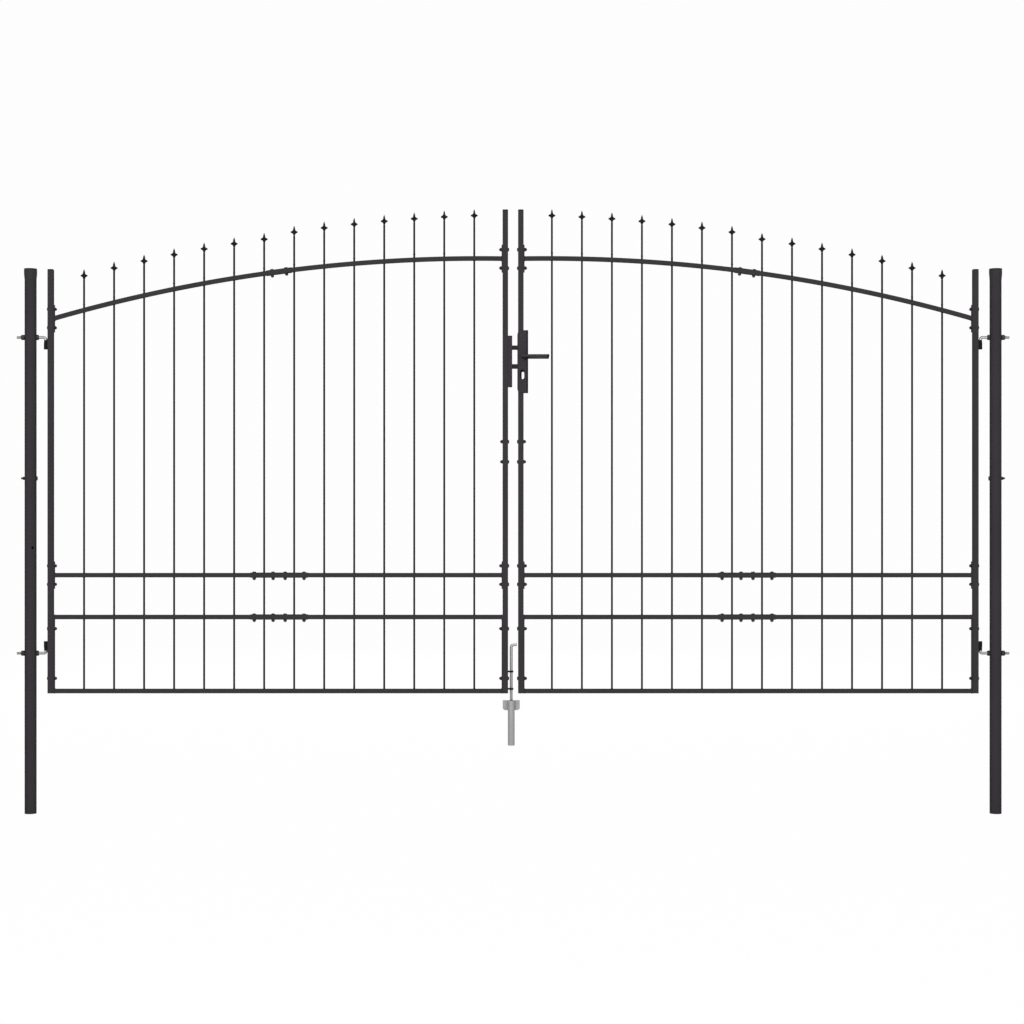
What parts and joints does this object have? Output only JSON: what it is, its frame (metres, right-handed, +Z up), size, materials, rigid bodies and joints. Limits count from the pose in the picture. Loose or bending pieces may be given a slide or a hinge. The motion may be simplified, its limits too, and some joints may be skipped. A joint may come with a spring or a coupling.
{
  "type": "arched double driveway gate",
  "caption": "Double-leaf steel driveway gate with an arched top rail, spear-headed bars, round posts, lever lock, throw bolts and a drop bolt with its ground socket.",
  "frame": {"origin": "centre of the left post's foot, at the bottom end of the tube", "axes": "+X along the closed gate to the right, +Y through it towards the side it opens to, +Z up"},
  "size_m": [4.064, 0.1, 2.4745],
  "materials": {
    "black_coat": "satin powder coat",
    "black_cap": "moulded, matt",
    "black_fastener": "blackened",
    "lock_black": "satin powder coat",
    "lever_black": "satin",
    "bolt_steel": "dark, worn smooth",
    "zinc_rod": "zinc plated",
    "galvanised_socket": "dull galvanised"
  },
  "bodies": {
    "posts": {"ground_socket_plate": "galvanised_socket", "ground_socket_tube": "galvanised_socket", "left_bottom_hinge_rod": "zinc_rod", "left_hinge_nuts": "black_fastener", "left_post": "black_coat", "left_post_bolt": "black_fastener", "left_post_cap": "black_cap", "left_top_hinge_rod": "zinc_rod", "right_bottom_hinge_rod": "zinc_rod", "right_hinge_nuts": "black_fastener", "right_post": "black_coat", "right_post_bolt": "black_fastener", "right_post_cap": "black_cap", "right_top_hinge_rod": "zinc_rod"},
    "left_leaf": {"drop_bolt_guides": "black_coat", "left_arch_splice_channel": "black_coat", "left_hinge_barrels": "black_coat", "left_hinge_stile": "black_coat", "left_hinge_stile_cap": "black_cap", "left_inner_half_panel": "black_coat", "left_meeting_stile_cap": "black_cap", "left_meeting_stile_lower": "black_coat", "left_meeting_stile_upper": "black_coat", "left_outer_half_panel": "black_coat", "left_rail_splice_channels": "black_coat", "left_stile_splice_sleeve": "black_coat", "strike_keep": "lock_black"},
    "right_leaf": {"cylinder_housing": "lock_black", "lock_case": "lock_black", "lock_forend": "lock_black", "lock_plates": "lock_black", "right_arch_splice_channel": "black_coat", "right_hinge_barrels": "black_coat", "right_hinge_stile": "black_coat", "right_hinge_stile_cap": "black_cap", "right_inner_half_panel": "black_coat", "right_meeting_stile_cap": "black_cap", "right_meeting_stile_lower": "black_coat", "right_meeting_stile_upper": "black_coat", "right_outer_half_panel": "black_coat", "right_rail_splice_channels": "black_coat", "right_stile_splice_sleeve": "black_coat"},
    "lever": {"lever_handles": "lever_black"},
    "latch": {"latch_bolt": "bolt_steel"},
    "dead": {"dead_bolt": "bolt_steel"},
    "drop": {"drop_bolt": "zinc_rod"}
  },
  "joints": [
    {"name": "left_leaf_swing", "type": "hinge", "parent": "posts", "child": "left_leaf", "pos_m": [0.063, 0, 1.3], "axis": [0, 0, 1], "range_deg": [0, 90]},
    {"name": "right_leaf_swing", "type": "hinge", "parent": "posts", "child": "right_leaf", "pos_m": [3.889, 0, 1.3], "axis": [0, 0, -1], "range_deg": [0, 90]},
    {"name": "lever_turn", "type": "hinge", "parent": "right_leaf", "child": "lever", "pos_m": [2.0165, 0, 1.871], "axis": [0, 1, 0], "range_deg": [0, 40], "stiffness_Nm_per_rad": 1.5, "springref_deg": -28.65},
    {"name": "latch_slide", "type": "slide", "parent": "right_leaf", "child": "latch", "axis": [1, 0, 0], "range_m": [0, 0.0245]},
    {"name": "dead_bolt_slide", "type": "slide", "parent": "right_leaf", "child": "dead", "axis": [1, 0, 0], "range_m": [0, 0.0245]},
    {"name": "drop_bolt_lift", "type": "slide", "parent": "left_leaf", "child": "drop", "axis": [0, 0, 1], "range_m": [0, 0.09]}
  ],
  "couplings": [
    {"joint": "latch_slide", "follows": "lever_turn", "m_per_rad": 0.035}
  ]
}
